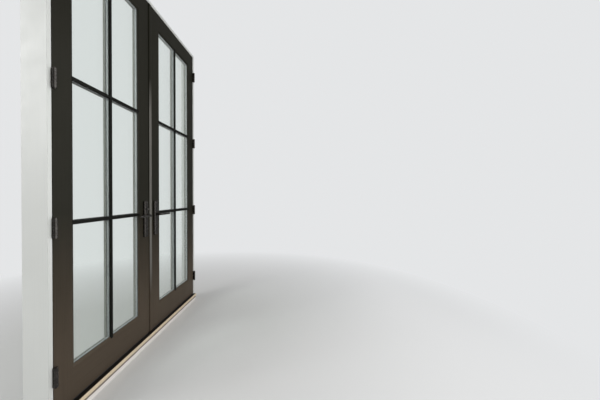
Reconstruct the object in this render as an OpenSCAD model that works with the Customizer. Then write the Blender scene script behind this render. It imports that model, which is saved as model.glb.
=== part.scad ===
// Pair of glazed inswing French doors in their frame, 5 ft wide and 8 ft high.
// X runs along the doorway, -Y is the room side and +Z is up.
// The origin is the middle of the sill's underside.

/* [Leaves] */
// Width of each leaf
leaf_w = 762; // [650:1:900]
// Height of each leaf
leaf_h = 2428; // [2200:2:2500]
// Thickness of each leaf
leaf_t = 44.5; // [42:0.5:50]
// Width of the stile beside the hinges, up to the glass
hinge_stile_w = 114.5; // [95:0.5:140]
// Width of the stile beside the meeting edge, up to the glass
lock_stile_w = 122; // [105:1:140]
// Height of the top rail
top_rail_h = 131; // [110:1:200]
// Height of the bottom rail
bottom_rail_h = 171; // [150:1:300]
// Bevel of the edges that meet, in degrees
edge_bevel = 3; // [3:0.5:4]

/* [Glazing] */
// From the room face of the leaf to the glass
glass_set = 9; // [8:0.5:11]
// Thickness of one pane
pane_t = 3; // [3:0.5:4]
// Space between the two panes
air_t = 13; // [10:0.5:14]
// Depth that the glass goes behind the visible edge
glass_bite = 10; // [8:0.5:12]
// Play round the edge of the glass in its rebate
glass_play = 2; // [1:0.5:3]
// How far the spacer shows inside the visible edge
spacer_show = 1; // [0.5:0.5:3]
// Rows of lites in a leaf
rows = 3; // [2:1:4]
// Columns of lites in a leaf
columns = 2; // [2:1:3]
// Width of a glazing bar at the glass
bar_base_w = 20; // [18:1:30]
// Width of a glazing bar at its front
bar_front_w = 16; // [12:1:18]
// Width of the shadow bar between the panes
shadow_w = 16; // [12:1:20]
// How far the glazing bead's edge lies below the leaf's face
bead_sink = 1; // [0.5:0.5:1.5]
// How far the glazing bead slopes down towards the glass
bead_fall = 5; // [3:0.5:5.5]
// Bevel on the outer edge of the glazing rebate
lip_bevel = 5; // [2:0.5:6]

/* [Meeting stiles] */
// Width of the astragal on the right leaf
astragal_w = 28.5; // [26:0.5:60]
// Running gap between the left leaf and the astragal
meeting_gap = 5.5; // [5:0.5:8]
// How far the astragal stands proud of the leaf's face
astragal_rise = 6; // [5:0.5:10]
// Radius of the astragal's front edges
astragal_round = 4; // [1:0.5:4]
// How far the edge seal stands out of the astragal
edge_seal_out = 4; // [2:0.5:5]

/* [Frame] */
// Depth of the frame from room to outside
jamb_d = 116; // [110:1:170]
// Thickness of a jamb beside the leaf
jamb_t = 21; // [18:1:32]
// Height of the stop that the leaf closes against
stop_h = 13; // [10:0.5:16]
// Running gap round a leaf
leaf_gap = 5; // [5:0.5:7]
// How far the leaf's face lies behind the frame's room edge
leaf_set = 1; // [0:0.5:3]
// Space between the leaf and the stop, filled by the seal
stop_gap = 6; // [4:0.5:8]
// Clearance between a closed leaf and a soft seal
seal_clear = 0.5; // [0.5:0.1:1]
// Width of the seal strip on the stop
seal_w = 9; // [6:0.5:10]

/* [Threshold] */
// Height of the oak cap above the underside of the sill
sill_h = 68; // [60:1:80]
// Thickness of the oak cap
cap_t = 21; // [16:0.5:24]
// How far the oak cap comes into the room
cap_out = 30; // [28:1:40]
// Radius of the oak cap's front edges
cap_round = 4; // [1:0.5:6]
// Thickness of the saddle plate let into the oak cap
saddle_t = 2; // [1.5:0.5:4]
// How far the saddle plate comes into the room
saddle_out = 25; // [10:1:25]
// How far the white nosing comes into the room
nose_out = 18; // [14:1:28]
// Ease on the top edge of the white nosing
nose_ease = 2; // [1:0.5:4]
// Running gap between the oak cap and a leaf
bottom_gap = 6; // [5:0.5:10]
// How far the sill deck comes out past the frame
deck_out = 28; // [15:1:50]
// Height of the deck's outer edge
deck_lip_h = 30; // [20:1:36]
// Fall of the deck from the cap to its outer edge
deck_fall = 12; // [6:0.5:14]

/* [Hinges] */
// Hinges on each leaf
hinge_count = 4; // [3:1:5]
// Height of a hinge
hinge_h = 89; // [80:1:115]
// Height of the lowest hinge's centre above the leaf's bottom
hinge_low = 180; // [160:1:240]
// Depth of the highest hinge's centre below the leaf's top
hinge_high = 204; // [170:1:260]
// Diameter of the hinge barrel
barrel_d = 17; // [14:0.5:18]
// Diameter of the hinge pin
pin_d = 8; // [6:0.5:9]
// Distance of the pin's axis from the room face of the leaf
pin_out = 13; // [11:0.5:15]
// Diameter of the button on each end of a hinge pin
button_d = 12; // [10:0.5:14]
// Height of the button on each end of a hinge pin
button_h = 3; // [2:0.5:5]
// Thickness of a hinge plate
hinge_plate_t = 2.5; // [2:0.1:3]
// Width of a hinge plate in the edge of the leaf
hinge_plate_w = 36; // [28:1:40]

/* [Handles] */
// Height of the levers' axis above the leaf's bottom
lever_z = 865; // [850:1:1050]
// Distance of the levers' axis from the leaf's meeting edge
backset = 48; // [36:1:60]
// Width of a handle plate
plate_w = 42; // [36:1:50]
// Height of a handle plate
plate_h = 256; // [230:1:300]
// Thickness of a handle plate
plate_t = 14; // [10:0.5:18]
// Distance of the levers' axis below the top of the plate
plate_above = 103; // [85:1:115]
// Bevel round the front of a handle plate
plate_bevel = 3; // [1:0.5:4]
// Length of a lever from its axis to its tip
lever_l = 130; // [100:1:140]
// Distance of a lever's front from the leaf
lever_out = 56; // [48:1:65]
// Diameter of a lever's neck
neck_d = 17; // [14:1:22]
// Thickness of a lever from front to back
lever_t = 11; // [8:0.5:14]
// Height of a lever's grip
lever_h = 15; // [15:1:24]
// Middle radius of the bend of a lever
lever_bend_r = 12; // [9:1:14]
// Height of the thumb turn above the levers' axis
turn_up = 46; // [42:1:70]
// Width of the seat round a lever's neck, beyond the neck
seat_rim = 4; // [2:0.5:6]
// Height of the seat in front of the handle plate
seat_h = 3; // [1:0.5:5]

/* [Hidden] */

LEFT = -1;
RIGHT = 1;
INNER = -1;
OUTER = 1;
ROUND_FN = 48;
// Overreach of a cut past the solid that it cuts
CUT = 1;
// Knuckles of a hinge, the gap between two of them and the play round the pin
KNUCKLES = 5;
KNUCKLE_GAP = 0.4;
PIN_PLAY = 0.3;
// Clearance between a hinge plate and the knuckles of the other half
PLATE_CLEAR = 0.7;
// Play round a lever's neck in its seat, and the neck's distance from the leaf
NECK_PLAY = 0.3;
NECK_START = 2;
// How far a mitre reaches inside the visible edge of the glass
MITRE_IN = 5;
// Distance of a sweep from the ends and the back of its leaf, and from its room face
SWEEP_INSET = 6;
SWEEP_SET = 1;

// Colours
BRONZE = "#38342f";
MUNTIN = "#191b17";
WHITE = "#dcddd8";
OAK = "#c9ad86";
NOSING = "#efe9e2";
SILVER = "#b9bcbb";
DARK_METAL = "#26231f";
HARDWARE = "#1d1b19";
RUBBER = "#17181a";
GLASS = [0.75, 0.84, 0.82, 0.35];

// Places along the doorway, measured from its middle
centre_w = astragal_w + meeting_gap;
meeting_x = centre_w / 2;
hinge_edge_x = meeting_x + leaf_w;
rebate_x = hinge_edge_x + leaf_gap;
frame_x = rebate_x + jamb_t;
stop_x = rebate_x - stop_h;
glass_x0 = meeting_x + lock_stile_w;
glass_x1 = hinge_edge_x - hinge_stile_w;
glass_w = glass_x1 - glass_x0;
lever_x = meeting_x + backset;

// Places through the thickness of the doorway
room_y = -jamb_d / 2;
outside_y = jamb_d / 2;
face_y = room_y + leaf_set;
back_y = face_y + leaf_t;
stop_y = back_y + stop_gap;
glass_y = face_y + glass_set;
air_y = glass_y + pane_t;
outer_pane_y = air_y + air_t;
glass_back_y = outer_pane_y + pane_t;
pin_x = hinge_edge_x + leaf_gap / 2;
pin_y = face_y - pin_out;

// Heights
leaf_z0 = sill_h + bottom_gap;
leaf_z1 = leaf_z0 + leaf_h;
head_z = leaf_z1 + leaf_gap;
frame_z = head_z + jamb_t;
glass_z0 = leaf_z0 + bottom_rail_h;
glass_z1 = leaf_z1 - top_rail_h;
glass_h = glass_z1 - glass_z0;
axis_z = leaf_z0 + lever_z;
hinge_step = (leaf_h - hinge_low - hinge_high) / (hinge_count - 1);
bevel_run = leaf_t * tan(edge_bevel);

// Distances from one glazing bar to the next
bar_step_x = (glass_w + bar_base_w) / columns;
bar_step_z = (glass_h + bar_base_w) / rows;
// Depth of the rebate that holds the edge of the glass
rebate_w = glass_bite + glass_play;
// Left edge of the astragal
astragal_x = meeting_x - astragal_w;
// Thumb turn: play in front of the plate, stem and grip
turn_play = 0.3;
turn_stem = 6;
turn_stem_d = 12;
turn_grip_w = 32;
turn_grip_t = 6;
// Key cylinder
key_rose_d = 24;
key_rose_t = 4;
key_slot_w = 2;
key_slot_h = 9;
// Bars let into the meeting edges
edge_plate_w = 20;
edge_plate_t = 3;
edge_seal_t = 6;
knuckle_h = hinge_h / KNUCKLES;

// Draws the children for one side, as built on the right or mirrored to the left
module on_side(side) {
    if (side == RIGHT) children();
    else mirror([1, 0, 0]) children();
}

// Turns the children, drawn towards the outside, to the room when asked
module facing(where) {
    if (where == OUTER) children();
    else mirror([0, 1, 0]) children();
}

// A block between two corners
module block(from, to) {
    translate(from) cube(to - from);
}

// A round bar along Y between two places
module bar_y(d, y0, y1) {
    translate([0, y1, 0]) rotate([90, 0, 0]) cylinder(d = d, h = y1 - y0, $fn = ROUND_FN);
}

// A profile drawn in X and Y, standing from one height to another
module upright(z0, z1) {
    translate([0, 0, z0]) linear_extrude(z1 - z0) children();
}

// A profile drawn in Y and Z, running along X from one place to another
module along(x0, x1) {
    translate([x0, 0, 0]) rotate([90, 0, 90]) linear_extrude(x1 - x0) children();
}

// Pulls the drawing out of the plane of the door, for a profile in X and Z
module through(y0, y1) {
    translate([0, y1, 0]) rotate([90, 0, 0]) linear_extrude(y1 - y0) children();
}

// The middle height of each hinge
function hinge_zs() = [for (i = [0:hinge_count - 1]) leaf_z0 + hinge_low + i * hinge_step];

// Frame

// Recesses that hold the plates of the hinges in a jamb or a stile
module hinge_recesses(x0, x1) {
    for (z = hinge_zs())
        block([x0, face_y - CUT - leaf_set, z - hinge_h / 2], [x1, face_y + hinge_plate_w, z + hinge_h / 2]);
}

module jamb_profile() {
    polygon([
        [rebate_x, room_y], [frame_x, room_y], [frame_x, outside_y],
        [stop_x, outside_y], [stop_x, stop_y], [rebate_x, stop_y]
    ]);
}

module jamb(side) {
    color(WHITE) on_side(side) difference() {
        upright(0, head_z) jamb_profile();
        hinge_recesses(rebate_x - CUT, rebate_x + hinge_plate_t);
    }
}

module head_jamb() {
    color(WHITE) {
        block([-frame_x, room_y, head_z], [frame_x, outside_y, frame_z]);
        block([-stop_x, stop_y, head_z - stop_h], [stop_x, outside_y, head_z]);
    }
}

// Section of a soft strip: its width lies along the stop and its round nose points to the leaf
module seal_section() {
    nose = stop_gap - seal_clear;
    nose_r = (seal_w * seal_w / 4 + nose * nose) / (2 * nose);
    intersection() {
        translate([seal_w / 2, nose - nose_r]) circle(r = nose_r, $fn = 2 * ROUND_FN);
        square([seal_w, nose]);
    }
}

module frame_seals() {
    color(RUBBER) {
        for (side = [LEFT, RIGHT])
            on_side(side) upright(sill_h, head_z) translate([stop_x, stop_y]) mirror([0, 1]) seal_section();
        along(-stop_x, stop_x) translate([stop_y, head_z - stop_h]) rotate(90) seal_section();
    }
}

// Threshold

module sill_deck_profile() {
    deck_end_y = outside_y + deck_out;
    seat_z = sill_h - cap_t;

    polygon([
        [room_y, 0], [deck_end_y, 0], [deck_end_y, deck_lip_h],
        [stop_y, deck_lip_h + deck_fall], [stop_y, seat_z], [room_y, seat_z]
    ]);
}

module sill_deck() {
    color(BRONZE) difference() {
        along(-rebate_x, rebate_x) sill_deck_profile();
        for (side = [LEFT, RIGHT])
            on_side(side) block([stop_x, stop_y, -CUT], [rebate_x + CUT, outside_y, sill_h]);
    }
}

// Section of the oak cap, with a round front and a rebate for the saddle plate
module sill_cap_profile() {
    front_y = room_y - cap_out;
    top_z = sill_h - cap_round;
    low_z = sill_h - cap_t + cap_round;
    difference() {
        union() {
            translate([front_y + cap_round, sill_h - cap_t]) square([stop_y - front_y - cap_round, cap_t]);
            translate([front_y, low_z]) square([cap_round + CUT, top_z - low_z]);
            for (z = [low_z, top_z])
                translate([front_y + cap_round, z]) circle(r = cap_round, $fn = ROUND_FN);
        }
        translate([room_y - saddle_out, sill_h - saddle_t]) square([jamb_d, saddle_t + CUT]);
    }
}

module sill_cap() {
    color(OAK) along(-rebate_x, rebate_x) sill_cap_profile();
}

// Flat metal plate in the top of the oak cap, under the leaves
module sill_saddle() {
    color(DARK_METAL) along(-rebate_x, rebate_x)
        translate([room_y - saddle_out, sill_h - saddle_t]) square([stop_y - room_y + saddle_out, saddle_t]);
}

module sill_nosing() {
    top = sill_h - cap_t;
    color(NOSING) along(-frame_x, frame_x) polygon([
        [room_y, 0], [room_y, top], [room_y - nose_out + nose_ease, top],
        [room_y - nose_out, top - nose_ease], [room_y - nose_out, 0]
    ]);
}

// Leaves, drawn for the right side

// A section run round the glass and mitred at its corners.
// The section's X is the distance outwards from the visible edge of the glass, and its Y is the row's Y.
module round_glass(reach) {
    x0 = glass_x0 - reach;
    x1 = glass_x1 + reach;
    z0 = glass_z0 - reach;
    z1 = glass_z1 + reach;
    intersection() {
        along(x0, x1) translate([0, glass_z0]) rotate(-90) children();
        through(room_y, outside_y) polygon([
            [x0, z0], [x1, z0], [glass_x1 - MITRE_IN, glass_z0 + MITRE_IN], [glass_x0 + MITRE_IN, glass_z0 + MITRE_IN]
        ]);
    }
    intersection() {
        along(x0, x1) translate([0, glass_z1]) mirror([1, -1]) children();
        through(room_y, outside_y) polygon([
            [x0, z1], [x1, z1], [glass_x1 - MITRE_IN, glass_z1 - MITRE_IN], [glass_x0 + MITRE_IN, glass_z1 - MITRE_IN]
        ]);
    }
    intersection() {
        upright(z0, z1) translate([glass_x0, 0]) mirror([1, 0]) children();
        through(room_y, outside_y) polygon([
            [x0, z0], [x0, z1], [glass_x0 + MITRE_IN, glass_z1 - MITRE_IN], [glass_x0 + MITRE_IN, glass_z0 + MITRE_IN]
        ]);
    }
    intersection() {
        upright(z0, z1) translate([glass_x1, 0]) children();
        through(room_y, outside_y) polygon([
            [x1, z0], [x1, z1], [glass_x1 - MITRE_IN, glass_z1 - MITRE_IN], [glass_x1 - MITRE_IN, glass_z0 + MITRE_IN]
        ]);
    }
}

// Bevel on the outer edge of the glazing rebate
module lip_cut() {
    round_glass(lip_bevel + CUT) polygon([
        [-CUT, back_y - lip_bevel - CUT], [lip_bevel + CUT, back_y + CUT], [-CUT, back_y + CUT]
    ]);
}

// Stile beside the hinges, rebated for the glass
module hinge_stile(side) {
    color(BRONZE) on_side(side) difference() {
        upright(leaf_z0, leaf_z1) polygon([
            [hinge_edge_x, face_y], [hinge_edge_x, back_y], [glass_x1, back_y], [glass_x1, glass_back_y],
            [glass_x1 + rebate_w, glass_back_y], [glass_x1 + rebate_w, face_y]
        ]);
        hinge_recesses(hinge_edge_x - hinge_plate_t, hinge_edge_x + CUT);
        lip_cut();
    }
}

// Stile beside the meeting edge, bevelled and pocketed for the lock plate on the left leaf
module lock_stile(side) {
    run = side == LEFT ? bevel_run : 0;
    color(BRONZE) on_side(side) difference() {
        upright(leaf_z0, leaf_z1) polygon([
            [meeting_x, face_y], [meeting_x + run, back_y], [glass_x0, back_y], [glass_x0, glass_back_y],
            [glass_x0 - rebate_w, glass_back_y], [glass_x0 - rebate_w, face_y]
        ]);
        if (side == LEFT) edge_plate(meeting_x, CUT);
        lip_cut();
    }
}

// Rail between the stiles, from its outer edge to the visible edge of the glass
module rail(side, edge_z, glass_z, rebate_z) {
    color(BRONZE) on_side(side) difference() {
        union() {
            block([glass_x0 - rebate_w, face_y, min(edge_z, rebate_z)],
                [glass_x1 + rebate_w, glass_back_y, max(edge_z, rebate_z)]);
            block([glass_x0, glass_back_y, min(edge_z, glass_z)], [glass_x1, back_y, max(edge_z, glass_z)]);
        }
        lip_cut();
    }
}

module top_rail(side) {
    rail(side, leaf_z1, glass_z1, glass_z1 + rebate_w);
}

module bottom_rail(side) {
    rail(side, leaf_z0, glass_z0, glass_z0 - rebate_w);
}

// One sheet of glass
module pane(side, y) {
    color(GLASS) on_side(side) block(
        [glass_x0 - glass_bite, y, glass_z0 - glass_bite],
        [glass_x1 + glass_bite, y + pane_t, glass_z1 + glass_bite]
    );
}

// Middle lines of the bars between the lites, which are all of one size
function bar_xs() = [for (i = [1:columns - 1]) glass_x0 - bar_base_w / 2 + i * bar_step_x];
function bar_zs() = [for (i = [1:rows - 1]) glass_z0 - bar_base_w / 2 + i * bar_step_z];

// Metal edge spacer with the shadow bars that it carries between the panes
module spacer(side) {
    color(SILVER) on_side(side) {
        difference() {
            block([glass_x0 - glass_bite, air_y, glass_z0 - glass_bite],
                [glass_x1 + glass_bite, outer_pane_y, glass_z1 + glass_bite]);
            block([glass_x0 + spacer_show, air_y - CUT, glass_z0 + spacer_show],
                [glass_x1 - spacer_show, outer_pane_y + CUT, glass_z1 - spacer_show]);
        }
        for (x = bar_xs())
            block([x - shadow_w / 2, air_y, glass_z0], [x + shadow_w / 2, outer_pane_y, glass_z1]);
        for (z = bar_zs())
            block([glass_x0, air_y, z - shadow_w / 2], [glass_x1, outer_pane_y, z + shadow_w / 2]);
    }
}

// Where the front of the glazing bead lies, at a distance outwards from the visible edge
function bead_y(out) = face_y + bead_sink + bead_fall * (1 - out / rebate_w);

// Section of the glazing bead, made larger away from its slope to cut what is fitted over it
module bead_section(over = 0) {
    polygon([
        [0, glass_y + over], [rebate_w + over, glass_y + over],
        [rebate_w + over, bead_y(rebate_w + over)], [0, bead_y(0)]
    ]);
}

// Glazing bead on the room side, sloped down towards the glass
module bead(side) {
    color(BRONZE) on_side(side) round_glass(rebate_w) bead_section();
}

// Tapered section of a glazing bar, from the glass to its front
module bar_section(length_y) {
    polygon([
        [-bar_base_w / 2, 0], [bar_base_w / 2, 0],
        [bar_front_w / 2, length_y], [-bar_front_w / 2, length_y]
    ]);
}

// Grid of glazing bars on one face of the glass, fitted over the bead on the room side
module bars(side, where) {
    depth = where == INNER ? glass_y - face_y : back_y - glass_back_y;
    base_y = where == INNER ? glass_y : glass_back_y;
    reach = where == INNER ? rebate_w : 0;
    color(MUNTIN) on_side(side) difference() {
        translate([0, base_y, 0]) facing(where) {
            for (x = bar_xs())
                upright(glass_z0 - reach, glass_z1 + reach) translate([x, 0]) bar_section(depth);
            for (z = bar_zs())
                along(glass_x0 - reach, glass_x1 + reach) translate([0, z]) rotate(-90) bar_section(depth);
        }
        if (where == INNER) round_glass(rebate_w + CUT) bead_section(CUT);
    }
}

// Soft strip under a leaf
module sweep(side) {
    sweep_h = bottom_gap - seal_clear;
    color(RUBBER) on_side(side) block(
        [meeting_x + SWEEP_INSET, face_y + SWEEP_SET, leaf_z0 - sweep_h],
        [hinge_edge_x - SWEEP_INSET, back_y - SWEEP_INSET, leaf_z0]
    );
}

// Hinges

// One knuckle of a hinge, counted from the bottom
module knuckle(i) {
    translate([pin_x, pin_y, -hinge_h / 2 + i * knuckle_h + KNUCKLE_GAP / 2])
        cylinder(d = barrel_d, h = knuckle_h - KNUCKLE_GAP, $fn = ROUND_FN);
}

// Flat plate of a hinge, with the tongues that reach its own knuckles
module hinge_plate(x0, x1, first) {
    block([x0, pin_y + barrel_d / 2 + PLATE_CLEAR, -hinge_h / 2], [x1, face_y + hinge_plate_w, hinge_h / 2]);
    for (i = [first:2:KNUCKLES - 1])
        block(
            [x0, pin_y + pin_d / 2, -hinge_h / 2 + i * knuckle_h + KNUCKLE_GAP / 2],
            [x1, face_y + PLATE_CLEAR, -hinge_h / 2 + (i + 1) * knuckle_h - KNUCKLE_GAP / 2]
        );
}

// Frame half: plate in the jamb, outer and middle knuckles, and the pin with its buttons
module jamb_hinges(side) {
    color(HARDWARE) on_side(side) for (z = hinge_zs()) translate([0, 0, z]) {
        hinge_plate(rebate_x, rebate_x + hinge_plate_t, 0);
        for (i = [0:2:KNUCKLES - 1]) knuckle(i);
        translate([pin_x, pin_y, -hinge_h / 2]) cylinder(d = pin_d, h = hinge_h, $fn = ROUND_FN);
        for (end = [-1, 1])
            translate([pin_x, pin_y, end * (hinge_h / 2 + button_h / 2)])
                cylinder(d = button_d, h = button_h, center = true, $fn = ROUND_FN);
    }
}

// Leaf half: plate in the stile and the two bored knuckles between
module leaf_hinges(side) {
    color(HARDWARE) on_side(side) for (z = hinge_zs()) translate([0, 0, z]) difference() {
        union() {
            hinge_plate(hinge_edge_x - hinge_plate_t, hinge_edge_x, 1);
            for (i = [1:2:KNUCKLES - 1]) knuckle(i);
        }
        translate([pin_x, pin_y, 0])
            cylinder(d = pin_d + PIN_PLAY, h = hinge_h + 2 * CUT, center = true, $fn = ROUND_FN);
    }
}

// Handles

// Flat plate on one face of a leaf, with a round seat for the lever's neck
module handle_plate(side, where) {
    y = where == INNER ? face_y : back_y;
    z_top = plate_above;
    z_low = plate_above - plate_h;
    seat_d = neck_d + 2 * seat_rim;
    bore = neck_d + 2 * NECK_PLAY;
    color(HARDWARE) on_side(side) translate([lever_x, y, axis_z]) facing(where) difference() {
        union() {
            block([-plate_w / 2, 0, z_low], [plate_w / 2, plate_t, z_top]);
            bar_y(seat_d, plate_t - CUT, plate_t + seat_h);
        }
        for (x = [-plate_w / 2, plate_w / 2])
            translate([x, plate_t, (z_low + z_top) / 2])
                cylinder(r = plate_bevel, h = plate_h + CUT, center = true, $fn = 4);
        for (z = [z_low, z_top])
            translate([0, plate_t, z]) rotate([0, 90, 0])
                cylinder(r = plate_bevel, h = plate_w + CUT, center = true, $fn = 4);
        bar_y(bore, -CUT, plate_t + seat_h + CUT);
    }
}

// Section of a lever's grip, with round long edges. X is its thickness and Y its height.
module grip_section() {
    straight = lever_h - lever_t;
    square([lever_t, straight], center = true);
    for (end = [-1, 1])
        translate([0, end * straight / 2]) circle(d = lever_t, $fn = ROUND_FN);
}

// Quarter bend of the grip, from the neck's direction to the grip's
module grip_bend() {
    rotate([0, 0, 90]) rotate_extrude(angle = 90, $fn = 2 * ROUND_FN)
        translate([lever_bend_r, 0]) grip_section();
}

// Rounded tip of the grip, half a turn of half its section
module grip_tip() {
    rotate([0, 0, -90]) rotate_extrude(angle = 180, $fn = 2 * ROUND_FN) intersection() {
        grip_section();
        translate([0, -lever_h]) square([lever_t, 2 * lever_h]);
    }
}

// One lever: a round neck in the bore of the plate, a bend and the grip with its rounded tip
module lever(where) {
    grip_y = lever_out - lever_t / 2;
    bend_y = grip_y - lever_bend_r;
    tip_x = lever_l - lever_t / 2;
    facing(where) {
        bar_y(neck_d, NECK_START, bend_y);
        translate([lever_bend_r, bend_y, 0]) grip_bend();
        translate([lever_bend_r, grip_y, 0]) rotate([90, 0, 90])
            linear_extrude(tip_x - lever_bend_r) grip_section();
        translate([tip_x, grip_y, 0]) grip_tip();
    }
}

module levers(side) {
    color(HARDWARE) on_side(side) {
        translate([lever_x, face_y, axis_z]) lever(INNER);
        translate([lever_x, back_y, axis_z]) lever(OUTER);
    }
}

// Knob that works the bolt from the room side, a round stem with a flat half-round grip that lies level
module thumb_turn() {
    stem_end = plate_t + turn_play + turn_stem;
    color(HARDWARE) on_side(LEFT) translate([lever_x, face_y, axis_z + turn_up]) facing(INNER) {
        bar_y(turn_stem_d, plate_t + turn_play, stem_end);
        upright(-turn_grip_t / 2, turn_grip_t / 2) intersection() {
            translate([0, stem_end - CUT]) circle(d = turn_grip_w, $fn = ROUND_FN);
            translate([-turn_grip_w / 2, stem_end - CUT]) square([turn_grip_w, turn_grip_w / 2]);
        }
    }
}

// Keyed lock on the outside
module key_cylinder() {
    color(HARDWARE) on_side(LEFT) translate([lever_x, back_y + plate_t, axis_z + turn_up]) difference() {
        bar_y(key_rose_d, 0, key_rose_t);
        block(
            [-key_slot_w / 2, key_rose_t / 2, -key_slot_h / 2],
            [key_slot_w / 2, key_rose_t + CUT, key_slot_h / 2]
        );
    }
}

// Flat bar let into a bevelled meeting edge, below the levers' axis
module edge_plate(edge_x, over) {
    mid_y = leaf_t / 2;
    translate([edge_x, face_y, axis_z]) rotate([0, 0, -edge_bevel]) block(
        [-over, mid_y - edge_plate_w / 2, plate_above - plate_h],
        [edge_plate_t, mid_y + edge_plate_w / 2, plate_above]
    );
}

module lock_plate() {
    color(HARDWARE) on_side(LEFT) edge_plate(meeting_x, 0);
}

// Meeting strip fixed to the right leaf

// Strip with a bevelled edge, standing proud of the leaf with round front edges
module astragal() {
    front_y = face_y - astragal_rise;
    round_y = front_y + astragal_round;
    round_x0 = astragal_x + astragal_round;
    round_x1 = meeting_x - astragal_round;
    color(BRONZE) difference() {
        upright(leaf_z0, leaf_z1) {
            polygon([
                [astragal_x, round_y], [meeting_x, round_y], [meeting_x, back_y],
                [astragal_x + bevel_run, back_y], [astragal_x, face_y]
            ]);
            translate([round_x0, front_y]) square([round_x1 - round_x0, astragal_round + CUT]);
            for (x = [round_x0, round_x1])
                translate([x, round_y]) circle(r = astragal_round, $fn = ROUND_FN);
        }
        edge_plate(astragal_x, CUT);
    }
}

module astragal_strike() {
    color(HARDWARE) edge_plate(astragal_x, 0);
}

module astragal_seal() {
    color(RUBBER) translate([astragal_x, face_y, 0]) rotate([0, 0, -edge_bevel])
        block([-edge_seal_out, leaf_t - 2 * edge_seal_t, leaf_z0], [0, leaf_t - edge_seal_t, leaf_z1]);
}

jamb(LEFT);  // left_jamb
jamb(RIGHT);  // right_jamb
head_jamb();
sill_deck();
sill_cap();
sill_saddle();
sill_nosing();
frame_seals();
jamb_hinges(LEFT);  // left_jamb_hinges
jamb_hinges(RIGHT);  // right_jamb_hinges
hinge_stile(LEFT);  // left_hinge_stile
lock_stile(LEFT);  // left_lock_stile
top_rail(LEFT);  // left_top_rail
bottom_rail(LEFT);  // left_bottom_rail
pane(LEFT, glass_y);  // left_inner_pane
pane(LEFT, outer_pane_y);  // left_outer_pane
spacer(LEFT);  // left_spacer
bead(LEFT);  // left_bead
bars(LEFT, INNER);  // left_inner_bars
bars(LEFT, OUTER);  // left_outer_bars
leaf_hinges(LEFT);  // left_leaf_hinges
handle_plate(LEFT, INNER);  // left_inner_plate
handle_plate(LEFT, OUTER);  // left_outer_plate
lock_plate();  // left_lock_plate
sweep(LEFT);  // left_sweep
hinge_stile(RIGHT);  // right_hinge_stile
lock_stile(RIGHT);  // right_lock_stile
top_rail(RIGHT);  // right_top_rail
bottom_rail(RIGHT);  // right_bottom_rail
pane(RIGHT, glass_y);  // right_inner_pane
pane(RIGHT, outer_pane_y);  // right_outer_pane
spacer(RIGHT);  // right_spacer
bead(RIGHT);  // right_bead
bars(RIGHT, INNER);  // right_inner_bars
bars(RIGHT, OUTER);  // right_outer_bars
leaf_hinges(RIGHT);  // right_leaf_hinges
handle_plate(RIGHT, INNER);  // right_inner_plate
handle_plate(RIGHT, OUTER);  // right_outer_plate
sweep(RIGHT);  // right_sweep
astragal();
astragal_seal();
astragal_strike();
levers(LEFT);  // left_levers
levers(RIGHT);  // right_levers
thumb_turn();
key_cylinder();
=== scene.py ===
"""Looks of a pair of glazed French doors: finishes, gaskets, screws, deck ribs, camera, floor and light."""
import math

import bmesh
import bpy
from mathutils import Matrix, Vector


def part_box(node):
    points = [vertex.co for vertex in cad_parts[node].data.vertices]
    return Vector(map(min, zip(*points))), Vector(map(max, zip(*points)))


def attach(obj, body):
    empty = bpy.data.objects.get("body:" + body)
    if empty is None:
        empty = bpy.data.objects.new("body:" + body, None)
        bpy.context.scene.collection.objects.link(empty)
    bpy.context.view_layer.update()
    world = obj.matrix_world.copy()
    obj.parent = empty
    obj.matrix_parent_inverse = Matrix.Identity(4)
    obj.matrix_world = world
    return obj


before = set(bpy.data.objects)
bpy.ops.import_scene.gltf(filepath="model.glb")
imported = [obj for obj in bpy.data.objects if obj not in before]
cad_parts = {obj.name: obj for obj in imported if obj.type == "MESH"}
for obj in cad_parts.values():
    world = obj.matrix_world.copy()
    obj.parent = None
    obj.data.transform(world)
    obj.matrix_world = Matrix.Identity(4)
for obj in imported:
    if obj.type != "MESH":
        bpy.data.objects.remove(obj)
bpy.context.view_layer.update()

MM = 0.001
SIDES = {"left": -1, "right": 1}

# Places that the frame gives, in metres, for the right leaf
STILE_LOW, STILE_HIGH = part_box("right_hinge_stile")
BARS_LOW, BARS_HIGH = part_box("right_outer_bars")
FACE_Y = STILE_LOW.y
INNER_GLASS_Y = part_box("right_inner_bars")[1].y
OUTER_GLASS_Y = BARS_LOW.y
LEAF_EDGE_X = STILE_HIGH.x

# The deck runs from the rebate of one jamb to that of the other
DECK_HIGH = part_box("sill_deck")[1]
REBATE_X = DECK_HIGH.x

# Grid of lites in a leaf, and the width of a bar at the glass
COLUMNS = 2
ROWS = 3
BAR_W = 20 * MM

# Colours as linear values
BRONZE_HIGH = (0.0165, 0.0157, 0.0108)
# Lighter brown that paints light bounced from the floor onto the coat's lower part
BRONZE_LOW_PAINTED_BOUNCE = (0.0780, 0.0600, 0.0430)
BRONZE_WORN = (0.10, 0.092, 0.08)
# Lighter grey-olive for the leaves' outer half and outer bars: painted daylight on the dark bronze outside
OUTSIDE_PAINTED_DAYLIGHT = (0.150, 0.155, 0.130)
# Lighter colour painted on the astragal's front as a sheen of window light
ASTRAGAL_PAINTED_SHEEN = (0.150, 0.144, 0.130)
BAR_BLACK = (0.0050, 0.0054, 0.0040)
WHITE_PAINT = (0.66, 0.675, 0.65)
# Dark brown for grime and painted shade in the paint's corners
PAINT_DIRT_AND_SHADE = (0.34, 0.31, 0.27)
PAINT_CHIP = (0.52, 0.46, 0.38)
NOSING_WHITE = (0.88, 0.84, 0.81)
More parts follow.
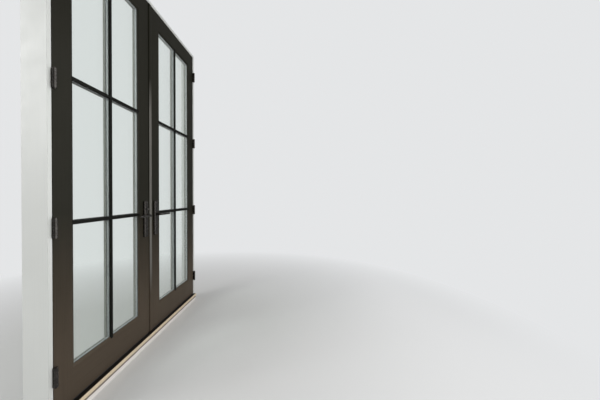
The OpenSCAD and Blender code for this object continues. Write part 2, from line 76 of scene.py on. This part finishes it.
# Brown painted shadow under the oak cap's overhang, on the nosing's top
NOSING_PAINTED_SHADOW = (0.13, 0.09, 0.06)
OAK_LIGHT = (0.80, 0.68, 0.49)
OAK_DARK = (0.60, 0.46, 0.30)
OAK_PORE = (0.30, 0.19, 0.10)
OAK_RUBBED = (0.82, 0.70, 0.50)
SPACER_GREY = (0.22, 0.23, 0.23)
SPACER_HOLE = (0.16, 0.165, 0.165)
HARDWARE_DARK = (0.034, 0.0315, 0.029)
# Copper on worn edges, made bright enough to also paint a highlight
HARDWARE_WEAR_AND_HIGHLIGHT = (0.26, 0.19, 0.14)
DECK_BRONZE = (0.016, 0.013, 0.010)
DECK_SCUFF = (0.10, 0.09, 0.075)
DECK_WORN = (0.16, 0.14, 0.11)
RUBBER_BLACK = (0.012, 0.012, 0.012)
RUBBER_DUST = (0.07, 0.066, 0.06)
GLASS_TINT = (0.94, 0.965, 0.95)
FLOOR_PALE = (0.66, 0.66, 0.65)
BACKDROP = (0.78, 0.79, 0.80)

# What the coat's colour is multiplied by in its pale clouds and in its dark grain
CLOUD_LIFT = (1.45, 1.45, 1.45)
GRAIN_SHADE = (0.40, 0.40, 0.40)

# The coat's shine, and the heights below which painted bounce light from the floor makes it brown and above
# which it is black-bronze
COAT_SPECULAR = 0.045
PAINTED_BOUNCE_BELOW, BLACK_ABOVE = 0.25, 1.0

# Heights on the astragal's front where the painted sheen starts and where it is full, low down and high up
SHEEN_FOOT = (0.35, 0.60)
SHEEN_TOP = (1.95, 1.70)

# Height above which a painted shadow of the oak cap's overhang darkens the nosing
PAINTED_SHADOW_ABOVE = 29 * MM

# Scales that draw grain and brush marks out along an upright or a level piece
GRAIN_UP = (260.0, 260.0, 3.0)
GRAIN_ACROSS = (3.0, 260.0, 260.0)
BRUSHED_UP = (160.0, 160.0, 2.5)
BRUSHED_ACROSS = (2.5, 160.0, 160.0)
BRUSHED_NOSING = (2.5, 140.0, 140.0)

# Light: strength of the soft world, and each lamp's name, place, aim, width, height, watts and kind
SOFT_LIGHT = 0.36
LAMPS = [
    ("room_lamp", (-1.8, -3.0, 1.6), (-0.2, 0.0, 1.0), 3.2, 2.8, 60.0, "plain"),
    ("window_lamp", (0.8, -2.6, 1.75), (-0.1, 0.0, 1.75), 2.0, 3.0, 70.0, "shine"),
    ("outside_lamp", (-3.2, 3.2, 2.8), (0.0, 0.0, 1.2), 2.4, 2.4, 110.0, "plain"),
    ("top_lamp", (0.0, -0.6, 5.2), (0.0, 0.0, 0.0), 2.5, 2.5, 40.0, "plain"),
]


def scaled(colour, factor):
    """The colour with each channel times the factor."""
    return tuple(c * factor for c in colour)


class Graph:
    """The node graph of a material or a world, with short calls that add and join nodes."""

    def __init__(self, owner, output):
        owner.use_nodes = True
        self.owner = owner
        self.output = output
        self.tree = owner.node_tree
        self.tree.nodes.clear()

    def add(self, kind, settings=None, **inputs):
        """A node of that kind. Inputs are given by name, with _ for a space, as values or as sockets."""
        made = self.tree.nodes.new(kind)
        for key, value in (settings or {}).items():
            setattr(made, key, value)
        for key, value in inputs.items():
            self.feed(made.inputs[key.replace("_", " ")], value)
        return made

    def feed(self, socket, value):
        """Links a socket to that input, or sets the input to a value."""
        if isinstance(value, bpy.types.NodeSocket):
            self.tree.links.new(value, socket)
        elif socket.type == "RGBA" and len(value) == 3:
            socket.default_value = (*value, 1.0)
        else:
            socket.default_value = value

    def maths(self, operation, first, second):
        """The result of that operation on two values."""
        made = self.add("ShaderNodeMath", {"operation": operation})
        self.feed(made.inputs[0], first)
        self.feed(made.inputs[1], second)
        return made.outputs[0]

    def seen(self):
        """A mask that is 1 for what the camera sees, straight on or through glass."""
        path = self.add("ShaderNodeLightPath").outputs
        return self.maths("MAXIMUM", path["Is Camera Ray"], path["Is Transmission Ray"])

    def blended(self, share, first, second):
        """Ends the graph with the first shader and that share of the second."""
        made = self.add("ShaderNodeMixShader")
        self.feed(made.inputs[0], share)
        self.feed(made.inputs[1], first)
        self.feed(made.inputs[2], second)
        return self.end(made.outputs["Shader"])

    def end(self, shader):
        """Ends the graph with that shader, and gives the material or the world."""
        self.feed(self.add(self.output).inputs["Surface"], shader)
        return self.owner


class Finish(Graph):
    """A material's graph, with calls for places, textures, masks, colours, relief and the main shader."""

    def __init__(self, name):
        super().__init__(bpy.data.materials.new(name), "ShaderNodeOutputMaterial")
        self.place = self.add("ShaderNodeTexCoord").outputs["Object"]

    def axes(self):
        """The place on the object as three sockets, by axis."""
        return self.add("ShaderNodeSeparateXYZ", Vector=self.place).outputs

    def stretched(self, scale):
        """The place on the object, scaled by axis."""
        return self.add("ShaderNodeMapping", Vector=self.place, Scale=scale).outputs["Vector"]

    def noise(self, scale, detail=4.0, roughness=0.55, vector=None):
        """Soft noise from 0 to 1 over the object, or over another vector."""
        made = self.add("ShaderNodeTexNoise", Scale=scale, Detail=detail, Roughness=roughness,
                        Vector=vector or self.place)
        return made.outputs["Fac"]

    def between(self, value, low, high, to_low=0.0, to_high=1.0):
        """The value carried from one range to another, and held at its ends."""
        made = self.add("ShaderNodeMapRange", Value=value, From_Min=low, From_Max=high,
                        To_Min=to_low, To_Max=to_high)
        return made.outputs["Result"]

    def mixed(self, share, first, second, blend="MIX"):
        """The first colour with that share of the second."""
        made = self.add("ShaderNodeMix", {"data_type": "RGBA", "blend_type": blend})
        # The node's colour sockets are its inputs 6 and 7 and its output 2
        self.feed(made.inputs[0], share)
        self.feed(made.inputs[6], first)
        self.feed(made.inputs[7], second)
        return made.outputs[2]

    def product(self, first, *others):
        """All the values multiplied together."""
        for other in others:
            first = self.maths("MULTIPLY", first, other)
        return first

    def edges(self, radius):
        """A rounded normal, and a mask that is 1 on the edges within that radius."""
        flat_cosine, edge_cosine = 0.995, 0.80
        rounded = self.add("ShaderNodeBevel", {"samples": 6}, Radius=radius).outputs["Normal"]
        flat = self.add("ShaderNodeNewGeometry").outputs["Normal"]
        made = self.add("ShaderNodeVectorMath", {"operation": "DOT_PRODUCT"})
        self.feed(made.inputs[0], rounded)
        self.feed(made.inputs[1], flat)
        return rounded, self.between(made.outputs["Value"], flat_cosine, edge_cosine)

    def bump(self, height, distance, strength=1.0, normal=None):
        """The normal of a relief, on top of another normal where one is given."""
        made = self.add("ShaderNodeBump", Height=height, Distance=distance, Strength=strength)
        if normal is not None:
            self.feed(made.inputs["Normal"], normal)
        return made.outputs["Normal"]

    def surface(self, **inputs):
        """Ends the graph with a main shader."""
        shader = self.add("ShaderNodeBsdfPrincipled", **inputs)
        return self.end(shader.outputs["BSDF"])


# Finishes

def coated_finish(name, high, low, grain_scale, matt, outside=None, rubbed=None):
    """Satin coat on the leaves: lighter and browner low down as painted light bounced from the floor, with
    fine texture, a painted sheen and worn edges.

    The outer half of the leaf takes the outside colour, which is painted daylight. The rubbed colour is a
    painted sheen on a front that stands proud of the leaf, between set heights."""
    g = Finish(name)
    at = g.axes()
    # Painted bounce light: the coat turns from black-bronze to a lighter brown towards the bottom
    base = g.mixed(g.between(at["Z"], PAINTED_BOUNCE_BELOW, BLACK_ABOVE), low, high)
    # Painted daylight: the outer half of the leaf takes a lighter colour than its dark bronze
    if outside:
        fade = 1.5 * MM
        base = g.mixed(g.between(at["Y"], OUTER_GLASS_Y - fade, OUTER_GLASS_Y), base, outside)
    # Painted sheen: a lighter colour on the front that stands proud, between set heights
    if rubbed:
        proud_from, proud_to = 2 * MM, 4 * MM
        sheen_band = g.product(g.between(at["Z"], *SHEEN_FOOT), g.between(at["Z"], *SHEEN_TOP))
        front = g.between(at["Y"], FACE_Y - proud_from, FACE_Y - proud_to)
        base = g.mixed(g.product(sheen_band, front), base, rubbed)
    cloud = g.noise(2.3, 3.0)
    base = g.mixed(g.between(cloud, 0.35, 0.7, 0.0, 0.35), base, CLOUD_LIFT, "MULTIPLY")
    grain = g.noise(1.0, 5.0, 0.65, g.stretched(grain_scale))
    base = g.mixed(g.between(grain, 0.45, 0.75, 0.0, 0.30), base, GRAIN_SHADE, "MULTIPLY")
    rounded, worn = g.edges(1.2 * MM)
    rub = g.between(g.noise(38.0, 4.0), 0.46, 0.62)
    base = g.mixed(g.product(worn, rub, 0.45), base, BRONZE_WORN)
    peel = g.noise(620.0, 2.0)
    smudge = g.noise(11.0, 3.0, 0.5)
    rough = g.between(smudge, 0.3, 0.75, matt - 0.04, matt + 0.06)
    relief = g.bump(grain, 0.25 * MM, 0.35, g.bump(peel, 0.12 * MM, 0.5, rounded))
    return g.surface(Base_Color=base, Roughness=rough, Specular_IOR_Level=COAT_SPECULAR, Normal=relief)


def white_paint(name, colour, brushed, painted_shadow_above=None):
    """Brushed satin paint on wood: brush marks, chipped edges, and soft darkening in the corners, partly
    grime and partly painted shade.

    Above a height, where one is given, a brown painted shadow darkens the paint."""
    g = Finish(name)
    brush = g.noise(1.0, 4.0, 0.6, g.stretched(brushed))
    cloud = g.noise(3.1, 4.0)
    base = g.mixed(g.between(cloud, 0.35, 0.75, 0.0, 0.5), colour, scaled(colour, 0.93))
    base = g.mixed(g.between(brush, 0.5, 0.8, 0.0, 0.3), base, scaled(colour, 0.90))
    # Painted shade with grime: corners that little light reaches are darkened, in patches
    shade = g.add("ShaderNodeAmbientOcclusion", {"samples": 6}, Distance=12 * MM).outputs["AO"]
    dirt_and_shade = g.product(g.between(shade, 0.75, 0.25), g.between(g.noise(26.0), 0.4, 0.65))
    base = g.mixed(g.product(dirt_and_shade, 0.45), base, PAINT_DIRT_AND_SHADE)
    rounded, worn = g.edges(1.5 * MM)
    chip = g.between(g.noise(90.0, 3.0), 0.60, 0.66)
    base = g.mixed(g.product(worn, chip, 0.5), base, PAINT_CHIP)
    # Painted shadow: above the height the paint turns brown, as if shaded by the overhang above
    if painted_shadow_above:
        fade, waver = 4 * MM, 1.5 * MM
        wavy = g.maths("ADD", g.axes()["Z"], g.between(g.noise(9.0, 4.0), 0.3, 0.7, -waver, waver))
        base = g.mixed(g.between(wavy, painted_shadow_above - fade, painted_shadow_above, 0.0, 0.92), base, NOSING_PAINTED_SHADOW)
    rough = g.between(g.noise(14.0, 5.0), 0.3, 0.75, 0.36, 0.52)
    return g.surface(Base_Color=base, Roughness=rough, Normal=g.bump(brush, 0.3 * MM, 0.5, rounded))


def oak_finish(name):
    """Oiled oak with long grain, open pores and darker growth bands."""
    g = Finish(name)
    warp = g.noise(1.0, 3.0, 0.5, g.stretched((1.2, 9.0, 9.0)))
    shifted = g.add("ShaderNodeVectorMath", {"operation": "ADD"})
    g.feed(shifted.inputs[0], g.stretched((1.0, 22.0, 22.0)))
    g.feed(shifted.inputs[1], warp)
    bands = g.add("ShaderNodeTexWave", {"wave_type": "BANDS", "bands_direction": "Z", "wave_profile": "SAW"},
                  Scale=2.4, Distortion=5.5, Detail=3.0, Vector=shifted.outputs["Vector"])
    ring = g.between(bands.outputs["Fac"], 0.1, 0.95)
    base = g.mixed(g.product(ring, 0.5), OAK_LIGHT, OAK_DARK)
    fibre = g.noise(1.0, 6.0, 0.7, g.stretched((14.0, 900.0, 900.0)))
    base = g.mixed(g.between(fibre, 0.42, 0.72, 0.0, 0.45), base, OAK_DARK)
    pore = g.noise(1.0, 2.0, 0.5, g.stretched((55.0, 1700.0, 1700.0)))
    pores = g.between(pore, 0.62, 0.70)
    base = g.mixed(g.product(pores, 0.6), base, OAK_PORE)
    rounded, worn = g.edges(1.5 * MM)
    base = g.mixed(g.product(worn, 0.3), base, OAK_RUBBED)
    rough = g.between(fibre, 0.3, 0.8, 0.34, 0.55)
    relief = g.bump(fibre, 0.2 * MM, 0.5, g.bump(pores, 0.15 * MM, 0.6, rounded))
    return g.surface(Base_Color=base, Roughness=rough, Normal=relief)


def hardware_finish(name):
    """Oil-rubbed bronze: near black, with copper on the edges that is partly wear where hands rub and partly
    a painted highlight.
    """
    g = Finish(name)
    cloud = g.noise(34.0, 5.0, 0.6)
    base = g.mixed(g.between(cloud, 0.4, 0.7, 0.0, 0.5), HARDWARE_DARK, scaled(HARDWARE_DARK, 2.1))
    rounded, worn = g.edges(1.0 * MM)
    rub = g.between(g.noise(120.0, 4.0), 0.35, 0.62)
    # Worn copper edges, partly real wear and partly a painted highlight
    base = g.mixed(g.product(worn, rub, 0.6), base, HARDWARE_WEAR_AND_HIGHLIGHT)
    rough = g.between(g.noise(60.0, 4.0), 0.3, 0.7, 0.20, 0.32)
    relief = g.bump(g.noise(900.0, 2.0), 0.06 * MM, 0.5, rounded)
    return g.surface(Base_Color=base, Metallic=0.85, Roughness=rough, Normal=relief)


def spacer_finish(name):
    """Mill aluminium spacer with rolled lines and the small vent holes of its inner face."""
    g = Finish(name)
    rolled = g.noise(1.0, 3.0, 0.5, g.stretched((6.0, 1400.0, 6.0)))
    base = g.mixed(g.between(rolled, 0.4, 0.7, 0.0, 0.5), SPACER_GREY, scaled(SPACER_GREY, 0.82))
    cells = g.add("ShaderNodeTexVoronoi", {"feature": "F1"}, Scale=240.0, Randomness=0.0, Vector=g.place)
    holes = g.between(cells.outputs["Distance"], 0.16, 0.10)
    base = g.mixed(g.product(holes, 0.5), base, SPACER_HOLE)
    rough = g.between(g.noise(30.0), 0.3, 0.7, 0.42, 0.58)
    return g.surface(Base_Color=base, Metallic=0.2, Roughness=rough, Normal=g.bump(rolled, 0.1 * MM, 0.5))


def deck_finish(name):
    """Bronze anodised aluminium, drawn along its length, with grit scuffs."""
    g = Finish(name)
    drawn = g.noise(1.0, 4.0, 0.6, g.stretched((3.0, 900.0, 900.0)))
    base = g.mixed(g.between(drawn, 0.4, 0.75, 0.0, 0.45), DECK_BRONZE, scaled(DECK_BRONZE, 1.9))
    scuff = g.between(g.noise(70.0, 6.0, 0.75), 0.58, 0.70)
    base = g.mixed(g.product(scuff, 0.3), base, DECK_SCUFF)
    rounded, worn = g.edges(1.0 * MM)
    base = g.mixed(g.product(worn, 0.4), base, DECK_WORN)
    rough = g.between(g.noise(18.0, 5.0), 0.3, 0.7, 0.34, 0.52)
    relief = g.bump(drawn, 0.1 * MM, 0.5, rounded)
    return g.surface(Base_Color=base, Metallic=0.7, Roughness=rough, Normal=relief)


def rubber_finish(name):
    """Matt black rubber with a pale bloom of dust."""
    g = Finish(name)
    dust = g.between(g.noise(45.0, 5.0, 0.7), 0.48, 0.72, 0.0, 0.35)
    base = g.mixed(dust, RUBBER_BLACK, RUBBER_DUST)
    rounded, _ = g.edges(0.8 * MM)
    rough = g.between(g.noise(80.0), 0.3, 0.7, 0.62, 0.80)
    relief = g.bump(g.noise(700.0, 2.0), 0.08 * MM, 0.5, rounded)
    return g.surface(Base_Color=base, Roughness=rough, Normal=relief)


def glass_finish(name):
    """Clear float glass that lets the lamps' light through, with faint smears that soften its shine."""
    g = Finish(name)
    smear = g.noise(1.0, 5.0, 0.65, g.stretched((5.0, 5.0, 2.2)))
    rough = g.between(smear, 0.5, 0.85, 0.0, 0.010)
    wave = g.bump(g.noise(2.6, 1.0), 0.5 * MM, 0.12)
    clear = g.add("ShaderNodeBsdfPrincipled", Base_Color=GLASS_TINT, Roughness=rough, IOR=1.45,
                  Transmission_Weight=1.0, Normal=wave)
    passing = g.add("ShaderNodeBsdfTransparent", Color=GLASS_TINT)
    path = g.add("ShaderNodeLightPath")
    return g.blended(path.outputs["Is Shadow Ray"], clear.outputs["BSDF"], passing.outputs["BSDF"])


UPRIGHT_COAT = coated_finish("coat_upright", BRONZE_HIGH, BRONZE_LOW_PAINTED_BOUNCE, GRAIN_UP, matt=0.38, outside=OUTSIDE_PAINTED_DAYLIGHT)
LEVEL_COAT = coated_finish("coat_level", BRONZE_HIGH, BRONZE_LOW_PAINTED_BOUNCE, GRAIN_ACROSS, matt=0.38, outside=OUTSIDE_PAINTED_DAYLIGHT)
ASTRAGAL_COAT = coated_finish("coat_astragal", BRONZE_HIGH, BRONZE_LOW_PAINTED_BOUNCE, GRAIN_UP, matt=0.32,
                              outside=OUTSIDE_PAINTED_DAYLIGHT, rubbed=ASTRAGAL_PAINTED_SHEEN)
BAR_COAT = coated_finish("coat_bars", BAR_BLACK, BAR_BLACK, GRAIN_UP, matt=0.40)
# The outer bars take the dark bronze lightened by painted daylight
DAYLIGHT_PAINTED_COAT = coated_finish("coat_cladding", OUTSIDE_PAINTED_DAYLIGHT, OUTSIDE_PAINTED_DAYLIGHT, GRAIN_UP, matt=0.42)
UPRIGHT_PAINT = white_paint("paint_upright", WHITE_PAINT, BRUSHED_UP)
LEVEL_PAINT = white_paint("paint_level", WHITE_PAINT, BRUSHED_ACROSS)
NOSING_PAINT = white_paint("paint_nosing", NOSING_WHITE, BRUSHED_NOSING, PAINTED_SHADOW_ABOVE)
OAK = oak_finish("oak_oiled")
HARDWARE = hardware_finish("hardware_bronze")
SPACER = spacer_finish("spacer_mill")
DECK = deck_finish("deck_bronze")
RUBBER = rubber_finish("rubber_black")
GLASS = glass_finish("glass_clear")

# Finishes of the nodes that both leaves have, by the name without its side, and of all the others
LEAF_FINISHES = {
    "hinge_stile": UPRIGHT_COAT, "lock_stile": UPRIGHT_COAT, "top_rail": LEVEL_COAT,
    "bottom_rail": LEVEL_COAT, "inner_pane": GLASS, "outer_pane": GLASS, "spacer": SPACER,
    "bead": UPRIGHT_COAT, "inner_bars": BAR_COAT, "outer_bars": DAYLIGHT_PAINTED_COAT, "leaf_hinges": HARDWARE,
    "inner_plate": HARDWARE, "outer_plate": HARDWARE, "sweep": RUBBER,
}
SINGLE_FINISHES = {
    "left_jamb": UPRIGHT_PAINT, "right_jamb": UPRIGHT_PAINT, "head_jamb": LEVEL_PAINT, "sill_deck": DECK,
    "sill_cap": OAK, "sill_saddle": DECK, "sill_nosing": NOSING_PAINT, "frame_seals": RUBBER,
    "left_jamb_hinges": HARDWARE, "right_jamb_hinges": HARDWARE, "left_lock_plate": HARDWARE,
    "key_cylinder": HARDWARE, "astragal": ASTRAGAL_COAT, "astragal_seal": RUBBER,
    "astragal_strike": HARDWARE, "left_levers": HARDWARE, "right_levers": HARDWARE,
    "thumb_turn": HARDWARE,
}


def dress_nodes():
    """Gives every CAD node its finish."""
    for name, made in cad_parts.items():
        finish = SINGLE_FINISHES.get(name) or LEAF_FINISHES[name.split("_", 1)[1]]
        made.data.materials.clear()
        made.data.materials.append(finish)


# Pieces made as meshes

def add_object(name, mesh, finish):
    """An object with its finish, from a bmesh that it uses up."""
    data = bpy.data.meshes.new(name)
    mesh.to_mesh(data)
    mesh.free()
    data.materials.append(finish)
    made = bpy.data.objects.new(name, data)
    bpy.context.scene.collection.objects.link(made)
    return made


def piece(name, mesh, finish, body):
    """A mesh from a bmesh, with its finish, riding on its body."""
    made = add_object(name, mesh, finish)
    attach(made, body)


def circle(count, radius, height):
    """Points round a circle at that height."""
    angles = (2 * math.pi * i / count for i in range(count))
    return [(radius * math.cos(a), radius * math.sin(a), height) for a in angles]


def add_loop_strip(mesh, corners, section):
    """Sweeps a closed section round a closed loop of corners, mitred where it turns.

    The section holds (inwards, out) pairs, and each corner is a function that gives a pair's point."""
    rings = [[mesh.verts.new(corner(inwards, out)) for inwards, out in section] for corner in corners]
    count = len(section)
    for i, ring in enumerate(rings):
        following = rings[(i + 1) % len(rings)]
        for k in range(count):
            n = (k + 1) % count
            mesh.faces.new((ring[k], following[k], following[n], ring[n]))


def lite_rects():
    """The rectangles of the lites of the right leaf, in X and Z, which are all of one size."""
    step_x = (BARS_HIGH.x - BARS_LOW.x + BAR_W) / COLUMNS
    step_z = (BARS_HIGH.z - BARS_LOW.z + BAR_W) / ROWS
    rects = []
    for column in range(COLUMNS):
        for row in range(ROWS):
            left = BARS_LOW.x + column * step_x
            low = BARS_LOW.z + row * step_z
            rects.append((left, left + step_x - BAR_W, low, low + step_z - BAR_W))
    return rects


def gasket_section():
    """A quarter-round lip of soft gasket just off the glass, as (inwards, out) pairs."""
    width, height, turns = 1.8 * MM, 2.2 * MM, 5
    tuck, lift = -0.2 * MM, 0.05 * MM
    points = [(tuck, lift), (width, lift)]
    for i in range(1, turns + 1):
        angle = math.pi / 2 * i / turns
        points.append((width * math.cos(angle), lift + height * math.sin(angle)))
    points.append((tuck, lift + height))
    return points


def add_gaskets(side, where):
    """The soft lip round each lite on one face of the glass."""
    sign = SIDES[side]
    glass_y, out_sign = (INNER_GLASS_Y, -1) if where == "inner" else (OUTER_GLASS_Y, 1)

    def corner(x, z, dx, dz):
        return lambda inwards, out: (sign * (x + dx * inwards), glass_y + out_sign * out, z + dz * inwards)

    mesh = bmesh.new()
    for left, right, low, high in lite_rects():
        corners = [corner(left, low, 1, 1), corner(right, low, -1, 1),
                   corner(right, high, -1, -1), corner(left, high, 1, -1)]
        add_loop_strip(mesh, corners, gasket_section())
    bmesh.ops.recalc_face_normals(mesh, faces=mesh.faces)
    piece(f"{side}_{where}_gaskets", mesh, RUBBER, f"{side}_leaf")


def add_screw(mesh, at, normal, radius, turn):
    """A flat screw head with a cross recess, standing a little out of its face."""
    dome, brow_radius, rim_count = 0.35 * MM, 0.86 * radius, 24
    arm, half = 0.55 * radius, 0.13 * radius
    pit_depth, pit_taper = 0.35 * radius, 0.7
    up = Vector(normal).normalized()
    basis = up.to_track_quat("Z", "Y").to_matrix().to_4x4()
    place = Matrix.Translation(at) @ basis @ Matrix.Rotation(turn, 4, "Z")

    def ring(points):
        return [mesh.verts.new(place @ Vector(point)) for point in points]

    foot = ring(circle(rim_count, radius, 0))
    brow = ring(circle(rim_count, brow_radius, dome))
    cross = [(arm, -half), (arm, half), (half, half), (half, arm), (-half, arm), (-half, half),
             (-arm, half), (-arm, -half), (-half, -half), (-half, -arm), (half, -arm), (half, -half)]
    lip = ring((x, y, dome) for x, y in cross)
    pit = ring((pit_taper * x, pit_taper * y, dome - pit_depth) for x, y in cross)
    for i in range(rim_count):
        n = (i + 1) % rim_count
        mesh.faces.new((foot[i], foot[n], brow[n], brow[i]))
    for i in range(len(cross)):
        n = (i + 1) % len(cross)
        mesh.faces.new((lip[n], lip[i], pit[i], pit[n]))
    mesh.faces.new(pit)
    edges = [mesh.edges.get((loop[i - 1], loop[i])) for loop in (brow, lip) for i in range(len(loop))]
    bmesh.ops.triangle_fill(mesh, edges=edges, use_beauty=True, normal=up)


def hinge_heights(side):
    """The middle heights of the hinges, found from the gaps between the solids of the jamb's halves."""
    least_gap = 0.2
    zs = sorted({round(v.co.z, 4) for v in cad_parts[f"{side}_jamb_hinges"].data.vertices})
    groups = [[zs[0]]]
    for z in zs[1:]:
        if z - groups[-1][-1] > least_gap:
            groups.append([])
        groups[-1].append(z)
    return [(group[0] + group[-1]) / 2 for group in groups]


def add_hinge_screws(side):
    """Three screws in each hinge plate, on the jamb and on the leaf."""
    sign = SIDES[side]
    radius = 4.2 * MM
    depths_and_rises = [(11 * MM, -29 * MM), (26 * MM, 0.0), (11 * MM, 29 * MM)]
    # Turn of the first recess, and how far turns differ from screw to screw and from jamb to leaf
    turn, turn_step, leaf_turn = 1.7, 1.3, 0.7
    jamb_mesh, leaf_mesh = bmesh.new(), bmesh.new()
    for middle in hinge_heights(side):
        for depth, rise in depths_and_rises:
            y, z = FACE_Y + depth, middle + rise
            add_screw(jamb_mesh, Vector((sign * REBATE_X, y, z)), (-sign, 0, 0), radius, turn)
            add_screw(leaf_mesh, Vector((sign * LEAF_EDGE_X, y, z)), (sign, 0, 0), radius, turn + leaf_turn)
            turn += turn_step
    piece(f"{side}_jamb_hinge_screws", jamb_mesh, HARDWARE, "frame")
    piece(f"{side}_leaf_hinge_screws", leaf_mesh, HARDWARE, f"{side}_leaf")


def add_plate_screws(side, where):
    """Two screws on the flat of a handle plate, one near each end. The lever's seat rises above the flat."""
    radius, seat_rise, from_end, turn_by_height = 3.6 * MM, 3 * MM, 14 * MM, 7
    low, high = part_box(f"{side}_{where}_plate")
    x = (low.x + high.x) / 2
    y, out = (low.y + seat_rise, -1) if where == "inner" else (high.y - seat_rise, 1)
    mesh = bmesh.new()
    for z in (low.z + from_end, high.z - from_end):
        add_screw(mesh, Vector((x, y, z)), (0, out, 0), radius, z * turn_by_height)
    piece(f"{side}_{where}_plate_screws", mesh, HARDWARE, f"{side}_leaf")


def add_deck_ribs():
    """Low ribs along the deck outside, that keep a shoe from slipping."""
    # The deck falls from the jambs' stops to its lip, and the ribs end clear of the stops
    stop_y, stop_h, end_gap = -6.5 * MM, 13 * MM, 3 * MM
    lip_h, fall = 30 * MM, 12 * MM
    slope_top, slope_foot = Vector((stop_y, lip_h + fall)), Vector((DECK_HIGH.y, lip_h))
    half_length = REBATE_X - stop_h - end_gap
    first_share, ribbed_share, count = 0.30, 0.58, 7
    # Half the section of a rib, in millimetres, as (across, up) pairs
    half_section = [(0.5, 0.95), (1.0, 0.75), (1.6, -0.2)]
    section = [(-across, up) for across, up in reversed(half_section)] + half_section
    mesh = bmesh.new()
    for i in range(count):
        y, z = slope_top.lerp(slope_foot, first_share + ribbed_share * i / (count - 1))
        ends = [[mesh.verts.new((x, y + across * MM, z + up * MM)) for across, up in section]
                for x in (-half_length, half_length)]
        for k in range(len(section)):
            n = (k + 1) % len(section)
            mesh.faces.new((ends[0][k], ends[1][k], ends[1][n], ends[0][n]))
        mesh.faces.new(ends[0])
        mesh.faces.new(ends[1])
    bmesh.ops.recalc_face_normals(mesh, faces=mesh.faces)
    piece("deck_ribs", mesh, DECK, "frame")


# Camera, floor and light

def add_camera():
    """The photo's view: a wide lens in the room, looking along the doorway and a little down."""
    place, down = (-2.0046, -1.1966, 1.0858), 0.362
    lens_px, shift_px, image_w = 269.17, (-2.96, -3.15), 600
    data = bpy.data.cameras.new("camera")
    data.sensor_width = 36.0
    data.lens = lens_px / image_w * data.sensor_width
    data.shift_x, data.shift_y = (shift / image_w for shift in shift_px)
    data.clip_start = 0.01
    data.clip_end = 200.0
    made = bpy.data.objects.new("camera", data)
    made.location = place
    made.rotation_euler = (math.radians(90 - down), 0.0, math.radians(-90))
    bpy.context.scene.collection.objects.link(made)
    bpy.context.scene.camera = made


def add_floor():
    """A wide pale floor that fades into the backdrop for the camera and for what shows through glass."""
    radius, fade_start, fade_end = 14.0, 0.9, 3.2
    g = Finish("floor_pale")
    length = g.add("ShaderNodeVectorMath", {"operation": "LENGTH"})
    g.feed(length.inputs[0], g.place)
    far = g.between(length.outputs["Value"], fade_start, fade_end)
    cloud = g.between(g.noise(0.8, 3.0), 0.3, 0.7, 0.0, 0.4)
    tone = g.mixed(cloud, FLOOR_PALE, scaled(FLOOR_PALE, 0.97))
    lit = g.add("ShaderNodeBsdfPrincipled", Base_Color=tone, Roughness=0.75)
    glow = g.add("ShaderNodeEmission", Color=BACKDROP, Strength=1.0)
    finish = g.blended(g.product(far, g.seen()), lit.outputs["BSDF"], glow.outputs["Emission"])
    mesh = bmesh.new()
    bmesh.ops.create_circle(mesh, cap_ends=True, segments=96, radius=radius)
    add_object("floor", mesh, finish)


def add_world():
    """Soft light all round, and the pale backdrop for the camera and for what shows through glass."""
    g = Graph(bpy.data.worlds.new("world"), "ShaderNodeOutputWorld")
    soft = g.add("ShaderNodeBackground", Color=(1.0, 1.0, 1.0), Strength=SOFT_LIGHT)
    pale = g.add("ShaderNodeBackground", Color=BACKDROP, Strength=1.0)
    world = g.blended(g.seen(), soft.outputs["Background"], pale.outputs["Background"])
    bpy.context.scene.world = world


def add_lamp(name, at, to, width, height, watts, kind):
    """A soft lamp aimed at a point, itself seen only in reflections. One for shine gives no plain light."""
    data = bpy.data.lights.new(name, "AREA")
    data.shape = "RECTANGLE"
    data.size = width
    data.size_y = height
    data.energy = watts
    made = bpy.data.objects.new(name, data)
    made.location = at
    made.rotation_euler = (Vector(to) - Vector(at)).to_track_quat("-Z", "Y").to_euler()
    made.visible_camera = False
    made.visible_transmission = False
    made.visible_diffuse = kind == "plain"
    bpy.context.scene.collection.objects.link(made)


dress_nodes()
for side in SIDES:
    for where in ("inner", "outer"):
        add_gaskets(side, where)
        add_plate_screws(side, where)
    add_hinge_screws(side)
add_deck_ribs()
add_camera()
add_floor()
add_world()
for lamp in LAMPS:
    add_lamp(*lamp)
bpy.context.scene.view_settings.view_transform = "Standard"
